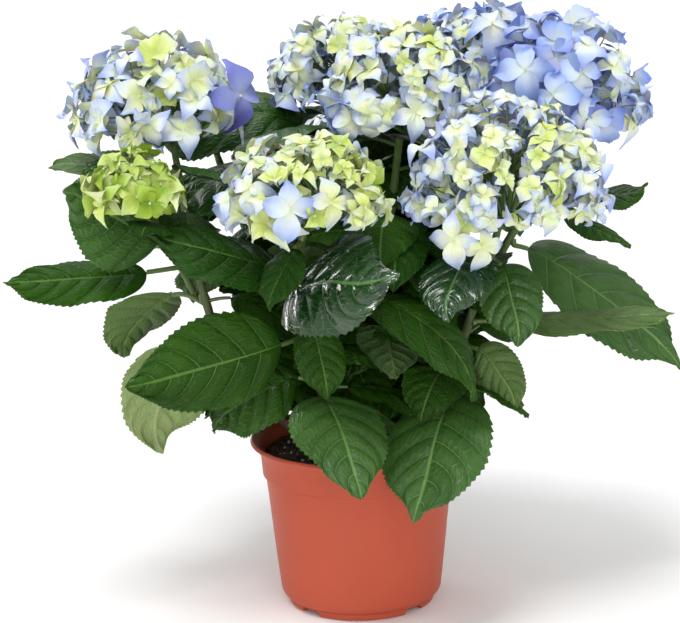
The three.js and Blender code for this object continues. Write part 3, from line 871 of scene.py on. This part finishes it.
def petal_finish():
    """Sepal skin. U runs along a sepal, and V holds its ripeness in bands that each span its width."""
    finish = Finish("sepals")
    flat = finish.node("ShaderNodeUVMap", {"uv_map": "OFBake"})
    along = finish.node("ShaderNodeSeparateXYZ", None, {0: flat}, out=0)
    band = finish.node("ShaderNodeSeparateXYZ", None, {0: flat}, out=1) * RIPENESS_BANDS
    across = abs(band.fraction() * 2 - 1)
    ripe = (band - band.fraction()) / (RIPENESS_BANDS - 1)
    streak_at = finish.node("ShaderNodeCombineXYZ", None, {0: along * 2.5, 1: band * 9})
    streaks = finish.noise(streak_at, 1.0, 3)
    heart = finish.ramp(
        ripe, (0.0, (0.21, 0.35, 0.025)), (0.2, (0.52, 0.61, 0.12)), (0.4, (0.70, 0.75, 0.34)),
        (0.6, (0.76, 0.79, 0.54)), (0.8, (0.66, 0.73, 0.72)), (1.0, (0.20, 0.22, 0.50)))
    body = finish.ramp(
        ripe, (0.0, (0.30, 0.45, 0.035)), (0.2, (0.63, 0.72, 0.20)), (0.4, (0.77, 0.81, 0.56)),
        (0.6, (0.69, 0.75, 0.82)), (0.8, (0.43, 0.55, 0.86)), (1.0, (0.13, 0.15, 0.45)))
    edge = finish.ramp(
        ripe, (0.0, (0.41, 0.57, 0.09)), (0.2, (0.72, 0.78, 0.42)), (0.34, (0.62, 0.69, 0.72)),
        (0.45, (0.47, 0.56, 0.82)), (0.6, (0.37, 0.46, 0.83)), (0.8, (0.25, 0.37, 0.82)),
        (1.0, (0.11, 0.10, 0.42)))
    bead = finish.node("ShaderNodeMath", {"operation": "LESS_THAN"}, {0: along, 1: BEAD_U})
    outward = along + across * 0.12 + streaks * 0.3 - 0.18
    colour = finish.mix(finish.fade(outward, 0.1, 0.6), heart, body)
    colour = finish.mix(finish.fade(outward, 0.42, 0.95), colour, edge)
    colour = finish.mix(0.3, colour, finish.ramp(streaks, (0.3, 0.72), (0.6, 1.0)), "MULTIPLY")
    colour = finish.mix(bead, colour, (0.62, 0.68, 0.50))
    return finish.surface(
        base_color=colour, roughness=0.6, normal=finish.bump(streaks, 0.3, 0.4 * MM),
        specular_ior_level=0.25, subsurface_weight=0.35, subsurface_scale=2.5 * MM)


def florets(centres, normals, sizes, ripeness, hanging, rng):
    """Joined florets: points, quads, their UVs and material numbers. A hanging one droops a sepal."""
    faces = grid_faces(np.arange(PETAL_T.size).reshape(PETAL_T.shape))
    points, quads, uvs, first = [], [], [], 0
    for centre, normal, floret_size, ripe, down in zip(centres, normals, sizes, ripeness, hanging):
        east = np.cross(normal, np.cross(normal, [0, 0, 1.0]) if down else rng.normal(size=3))
        east /= np.linalg.norm(east)
        north = np.cross(normal, east)
        number = 5 if rng.uniform() < FIVE_PETALLED and not down else 4
        cup, reflex, broad = rng.uniform(-0.1, 0.55), rng.uniform(0.2, 0.9), rng.uniform(0.85, 1.2)
        if down:
            cup, reflex, broad = 0.12, 0.8, 0.86
        for p in range(number):
            turn = 2 * np.pi * p / number + rng.normal(0, 0.12)
            hangs = down and p == 0
            size = floret_size * rng.uniform(0.85, 1.15) * (HANGING_PETAL if hangs else 1)
            lift = cup + rng.normal(0, 0.2) - (0.3 if hangs else 0)
            fold, twist = rng.uniform(-0.3, 0.95), rng.normal(0, 0.55)
            z = lift * PETAL_T ** 1.3 - reflex * PETAL_T ** 3.5
            z = z + fold * abs(PETAL_Y) ** 1.4 + twist * PETAL_Y * PETAL_T
            ripple = np.sin(7 * PETAL_T + 3 * PETAL_V + rng.uniform(0, 6)) * PETAL_T
            z = z + (0.12 if down else 0.09) * ripple + 0.03 * (p % 2)
            out = east * np.cos(turn) + north * np.sin(turn)
            lateral = north * np.cos(turn) - east * np.sin(turn)
            reach = PETAL_T * (1 - 0.25 * lift ** 2)
            narrow = PETAL_Y * (broad - 0.15 * abs(fold))
            shape = reach[..., None] * out + narrow[..., None] * lateral + z[..., None] * normal
            points.append((centre + size * shape).reshape(-1, 3))
            quads.append(faces + first)
            tone = int(np.clip(ripe + rng.normal(0, 0.035), 0, 0.999) * RIPENESS_BANDS)
            flat = np.stack([BEAD_U + 0.02 + (0.96 - BEAD_U) * PETAL_T,
                             (tone + 0.04 + 0.92 * (0.5 + 0.5 * PETAL_V)) / RIPENESS_BANDS], -1)
            uvs.append(flat.reshape(-1, 2)[faces])
            first += PETAL_T.size
        points.append(centre + BEAD_RADIUS * (BEAD_CORNERS + 0.6 * normal))
        quads.append(BEAD_QUADS + first)
        corners = np.array([[0, 0], [1, 0], [1, 1], [0, 1]]) * (BEAD_U * 0.8, 0.9 / RIPENESS_BANDS)
        uvs.append(np.tile(corners, (len(BEAD_QUADS), 1, 1)))
        first += len(BEAD_CORNERS)
    return np.vstack(points), np.vstack(quads), np.concatenate(uvs), np.zeros(sum(map(len, quads)), int)


# Where the youngest florets face, how ripe the youngest and the ripest are from 0 to 1, how far a
# sepal reaches in mm, and how many degrees down from the crown a head is clothed.
HEADS = {
    "head_left": dict(heart=(0.45, -0.4, 0.8), young=0.4, ripe=0.6, size=(10.5, 17), lowest=103),
    "head_small_green": dict(heart=(0, 0, 1), young=0.0, ripe=0.12, size=(7.5, 13), lowest=112),
    "head_top_left": dict(heart=(0.2, -0.5, 0.9), young=0.25, ripe=0.64, size=(8, 13), lowest=108),
    "head_centre": dict(heart=(0.1, -0.5, 0.7), young=0.3, ripe=0.6, size=(9, 15), lowest=106),
    "head_top_back": dict(heart=(-0.2, -0.6, 0.5), young=0.5, ripe=0.75, size=(10, 15.5), lowest=110),
    "head_right": dict(heart=(0.8, -0.3, 0.2), young=0.56, ripe=0.8, size=(12, 18), lowest=110),
    "head_front_right": dict(heart=(0.2, -0.7, 0.5), young=0.28, ripe=0.62, size=(8.5, 12.5), lowest=112),
    "head_front": dict(heart=(0.5, -0.6, 0.6), young=0.1, ripe=0.44, size=(8, 14), lowest=108),
    "head_back": dict(heart=(0, 0.3, 0.9), young=0.28, ripe=0.66, size=(9.5, 13.5), lowest=112),
    "head_back_left": dict(heart=(-0.2, 0.3, 0.9), young=0.28, ripe=0.66, size=(9.5, 13.5), lowest=112),
}
# The few largest florets, nearest the light: head, place in mm, facing, reach of a sepal, ripeness.
LARGEST = [
    ("head_front", (-37, -137, 288), (0.05, -0.95, 0.2), 20, 0.7),
    ("head_front", (-61, -117, 298), (-0.4, -0.8, 0.4), 15, 0.6),
    ("head_front", (-14, -128, 290), (0.4, -0.9, 0.2), 15, 0.4),
    ("head_left", (-68, -32, 339), (0.5, -0.8, 0.1), 20, 0.95),
    ("head_front_right", (59, -106, 262), (-0.2, -0.95, 0.1), 16, 0.5),
    ("head_front_right", (76, -102, 256), (0.2, -0.95, 0.1), 14.5, 0.48),
    ("head_right", (109, -10, 347), (-0.2, -0.9, 0.4), 20, 0.8),
    ("head_right", (126, -12, 331), (0.1, -0.95, 0.2), 20, 0.8),
    ("head_right", (145, 0, 344), (0.3, -0.85, 0.4), 19, 0.76),
    ("head_right", (98, -4, 331), (-0.5, -0.85, 0.2), 18, 0.8),
    ("head_centre", (39, -52, 329), (0.1, -0.95, 0.3), 17, 0.56),
    ("head_top_back", (92, 46, 369), (0.1, -0.6, 0.8), 17, 0.7),
]
sepal_skin = petal_finish()
for order, (node, look) in enumerate(HEADS.items()):
    rng = np.random.default_rng(900 + order)
    centre, half = dome(node)
    smallest, largest = (size * MM for size in look["size"])
    spacing = SPACING * (smallest + largest)
    area = 4 * np.pi * np.mean((half * np.roll(half, 1)) ** 1.6) ** (1 / 1.6)
    lowest = math.cos(math.radians(look["lowest"]))
    count = int(area * (1 - lowest) / 2 / (0.87 * spacing ** 2))
    height = 1 - (1 - lowest) * (np.arange(count) + 0.5) / count
    turn = GOLDEN_TURN * np.arange(count) + rng.normal(0, 0.16, count)
    height = np.clip(height + rng.normal(0, 0.03, count), lowest, 0.999)
    level = np.sqrt(1 - height ** 2)
    spots = np.stack([level * np.cos(turn), level * np.sin(turn), height], 1)
    squash = np.where(spots[:, 2:] > 0, 1.0, 0.5)
    surface = spots * half * np.hstack([np.ones((count, 2)), squash])
    normals = unit(spots / half) + np.array([0, 0, UPWARD_LEAN])
    normals = unit(normals + rng.normal(0, FACING_SPREAD, (count, 3)))
    heart = np.array(look["heart"]) / np.linalg.norm(look["heart"])
    away = np.clip(np.arccos(np.clip(spots @ heart, -1, 1)) / HEART_REACH, 0, 1)
    ripe = look["young"] + (look["ripe"] - look["young"]) * away
    ripe = np.clip(ripe + rng.normal(0, RIPENESS_SPREAD, count), 0, RIPEST)
    sizes = (smallest + (largest - smallest) * away) * rng.uniform(0.85, 1.18, count)
    depth = 0.35 * sizes + rng.uniform(0, SEAT_DEPTH, count)
    seats = centre + surface * (1 - depth / np.linalg.norm(surface, axis=1))[:, None]
    under = rng.permutation(count)[:int(UNDERLAYER * count)]
    seats = np.vstack([seats, centre + (seats[under] - centre) * rng.uniform(0.66, 0.8, (len(under), 1))])
    normals = unit(np.vstack([normals, normals[under] + rng.normal(0, 0.3, (len(under), 3))]))
    sizes, ripe = np.append(sizes, 0.9 * sizes[under]), np.append(ripe, ripe[under[::-1]])
    hanging = np.zeros(len(seats), bool)
    for place, facing, size, ripeness in (row[1:] for row in LARGEST if row[0] == node):
        spot, sag = np.array(place) * MM, np.array([0, 0, 0.9 * size * MM])
        apart = np.linalg.norm(seats - spot, axis=1) > 0.75 * size * MM
        apart &= np.linalg.norm(seats - spot + sag, axis=1) > 0.7 * size * MM
        seats = np.vstack([seats[apart], spot])
        normals = np.vstack([normals[apart], np.array(facing) / np.linalg.norm(facing)])
        sizes, ripe = np.append(sizes[apart], size * MM), np.append(ripe[apart], ripeness)
        hanging = np.append(hanging[apart], True)
    parts = [florets(seats, normals, sizes, ripe, hanging, rng)]
    blossom = join_parts("florets_" + node.removeprefix("head_"), parts, [sepal_skin])
    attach(blossom, "root")
    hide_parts(node)
    "green_petals" if node == "head_small_green" else "petals"
    hub = centre - np.array([0, 0, 0.35 * half[2]])
    forks = hub + 0.45 * (seats[::SEATS_PER_FORK] - hub)
    paths = []
    for seat, normal in zip(seats, normals):
        fork = forks[np.linalg.norm(forks - seat, axis=1).argmin()]
        line = np.array([fork, 0.5 * (fork + seat) - 1.5 * MM * normal, seat])
        paths.append((line, RAY_RADII))
    for fork in forks:
        paths.append((np.array([hub, 0.5 * (hub + fork), fork]), BRANCH_RADII))
    rays = rods("rays_" + node.removeprefix("head_"), paths, RAY_SIDES)
    rays.data.materials.append(stalk_skin)
    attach(rays, "root")

# ---- The floor, the light and the camera ---------------------------------------------------
# A plain pale floor, matt enough to take a soft shadow and no reflection. The light is white and
# comes from all round, with broad soft lamps above, in front and at the left. The camera stands
# a little above the crown and looks down at the plant through a long lens.

FLOOR_SIZE = 12
FLOOR_DROP = 0.5 * MM
WORLD_STRENGTH = 0.72

bpy.ops.object.select_all(action="DESELECT")
bpy.ops.mesh.primitive_plane_add(size=FLOOR_SIZE, location=(0, 0, -FLOOR_DROP))
floor = bpy.context.object
floor.name = "studio_floor"
paint = Finish("floor_paint")
paint.surface(base_color=(0.97, 0.97, 0.97), roughness=0.9, specular_ior_level=0.0)
floor.data.materials.append(paint.material)

world = bpy.data.worlds.new("studio")
bpy.context.scene.world = world
world.use_nodes = True
backdrop = world.node_tree.nodes["Background"]
backdrop.inputs["Color"].default_value = (1, 1, 1, 1)
backdrop.inputs["Strength"].default_value = WORLD_STRENGTH


def sunlight(name, source, width, strength):
    """Soft light from far away in the direction of source, as wide as that many degrees of sky."""
    lamp = bpy.data.lights.new(name, "SUN")
    lamp.angle, lamp.energy = math.radians(width), strength
    holder = bpy.data.objects.new(name, lamp)
    bpy.context.collection.objects.link(holder)
    holder.matrix_world = Vector(source).to_track_quat("Z", "Y").to_matrix().to_4x4()
    return holder


sunlight("key_light", (-0.2, -0.35, 1.0), 22, 1.45)
sunlight("front_light", (0.1, -1.2, 0.35), 40, 0.9)
sunlight("side_light", (-0.75, 0.58, 0.32), 24, 0.4)
# These three only put a shine on waxy leaves and on the pot, and light nothing else.
sunlight("left_shine", (-0.62, 0.64, 0.45), 40, 3.0).visible_diffuse = False
sunlight("top_shine", (-0.08, 0.45, 0.88), 46, 3.6).visible_diffuse = False
sunlight("pot_shine", (-0.42, -0.9, 0.08), 14, 2.0).visible_diffuse = False

CAMERA_PLACE = (-0.0098, -1.6, 0.591)
CAMERA_PITCH = 0.244
CAMERA_ROLL = -0.024
FOCAL_LENGTH = 136.3
SENSOR_WIDTH = 36
lens = bpy.data.cameras.new("camera")
lens.lens = FOCAL_LENGTH
lens.sensor_width = SENSOR_WIDTH
camera = bpy.data.objects.new("camera", lens)
bpy.context.collection.objects.link(camera)
forward = np.array([0, math.cos(CAMERA_PITCH), -math.sin(CAMERA_PITCH)])
upright = np.array([0, math.sin(CAMERA_PITCH), math.cos(CAMERA_PITCH)])
right = np.array([1.0, 0, 0])
rolled = math.cos(CAMERA_ROLL) * right + math.sin(CAMERA_ROLL) * upright
crown = -math.sin(CAMERA_ROLL) * right + math.cos(CAMERA_ROLL) * upright
axes = [[rolled[k], crown[k], -forward[k], CAMERA_PLACE[k]] for k in range(3)]
camera.matrix_world = Matrix([*axes, [0, 0, 0, 1]])
bpy.context.scene.camera = camera
bpy.context.scene.view_settings.view_transform = "Standard"
